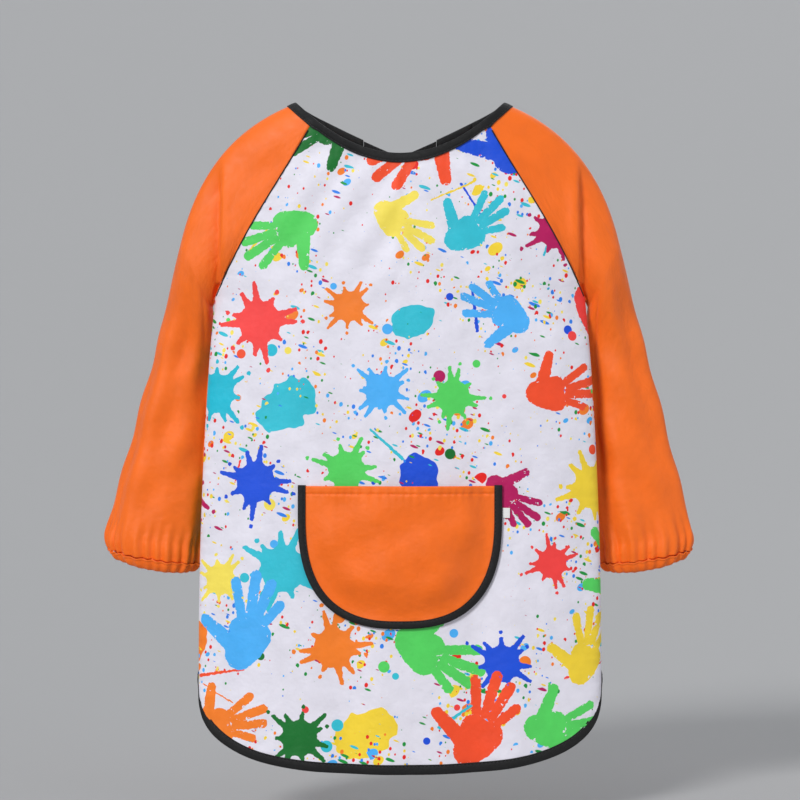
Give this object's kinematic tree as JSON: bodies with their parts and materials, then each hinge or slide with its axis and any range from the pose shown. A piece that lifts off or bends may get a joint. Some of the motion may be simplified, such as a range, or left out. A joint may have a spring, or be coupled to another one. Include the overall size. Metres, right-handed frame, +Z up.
{
  "type": "artist smock apron",
  "caption": "Long-sleeved child's art smock in splashed paint print with plain raglan sleeves, a half-round front pocket, bound edges and an open back.",
  "frame": {"origin": "middle of the shoulders at neck height, where a hanger's arms hold the smock", "axes": "+Z up, the front faces -Y, +X to the right as seen by someone facing the front"},
  "size_m": [0.533, 0.1074, 0.5987],
  "materials": {
    "printed_cloth": "coated printed polyester, soft sheen",
    "orange_cloth": "coated plain polyester, soft sheen",
    "black_binding": "woven bias tape, matt",
    "black_piping": "fine cord, matt",
    "elastic": "woven elastic band",
    "hook": "hook tape, rough",
    "loop": "loop tape, fuzzy",
    "label": "satin ribbon"
  },
  "bodies": {
    "smock": {"front_panel": "printed_cloth", "back_panel_left": "printed_cloth", "back_panel_right": "printed_cloth", "sleeve_upper_left": "orange_cloth", "sleeve_upper_right": "orange_cloth", "neck_binding": "black_binding", "edge_binding": "black_binding", "raglan_piping_front_left": "black_piping", "raglan_piping_front_right": "black_piping", "raglan_piping_back_left": "black_piping", "raglan_piping_back_right": "black_piping", "pocket_panel": "orange_cloth", "pocket_facing": "orange_cloth", "pocket_binding": "black_binding"},
    "flap_left": {"back_flap_left": "printed_cloth", "edge_binding_flap_left": "black_binding", "neck_binding_flap_left": "black_binding"},
    "flap_right": {"back_flap_right": "printed_cloth", "edge_binding_flap_right": "black_binding", "neck_binding_flap_right": "black_binding", "closure_strap_inner": "black_binding", "loop_tape": "loop"},
    "closure_strap": {"closure_strap_outer": "black_binding", "hook_tape": "hook"},
    "sleeve_left": {"sleeve_lower_left": "orange_cloth", "cuff_casing_left": "orange_cloth", "cuff_elastic_left": "elastic"},
    "sleeve_right": {"sleeve_lower_right": "orange_cloth", "cuff_casing_right": "orange_cloth", "cuff_elastic_right": "elastic"},
    "tag": {"size_tag": "label"}
  },
  "joints": [
    {"name": "flap_left_fold", "type": "hinge", "parent": "smock", "child": "flap_left", "pos_m": [-0.066, 0.0299, -0.01872], "axis": [0.1043, 0, 0.9945], "range_deg": [0, 110]},
    {"name": "flap_right_fold", "type": "hinge", "parent": "smock", "child": "flap_right", "pos_m": [0.066, 0.0299, -0.01872], "axis": [0.1043, 0, -0.9945], "range_deg": [0, 31]},
    {"name": "closure_strap_peel", "type": "hinge", "parent": "flap_left", "child": "closure_strap", "pos_m": [-0.033, 0.0309, -0.03964], "axis": [0, 0, 1], "range_deg": [0, 90]},
    {"name": "sleeve_left_swing", "type": "hinge", "parent": "smock", "child": "sleeve_left", "pos_m": [-0.199, 0.01, -0.1295], "axis": [0, 1, 0], "range_deg": [0, 40]},
    {"name": "sleeve_right_swing", "type": "hinge", "parent": "smock", "child": "sleeve_right", "pos_m": [0.199, 0.01, -0.1295], "axis": [0, -1, 0], "range_deg": [0, 40]},
    {"name": "size_tag_flip", "type": "hinge", "parent": "smock", "child": "tag", "pos_m": [0.0907, -0.0404, -0.37], "axis": [0, 0, -1], "range_deg": [0, 90]}
  ],
  "couplings": [
    {"joint": "flap_right_fold", "follows": "flap_left_fold", "ratio": 0.28}
  ]
}
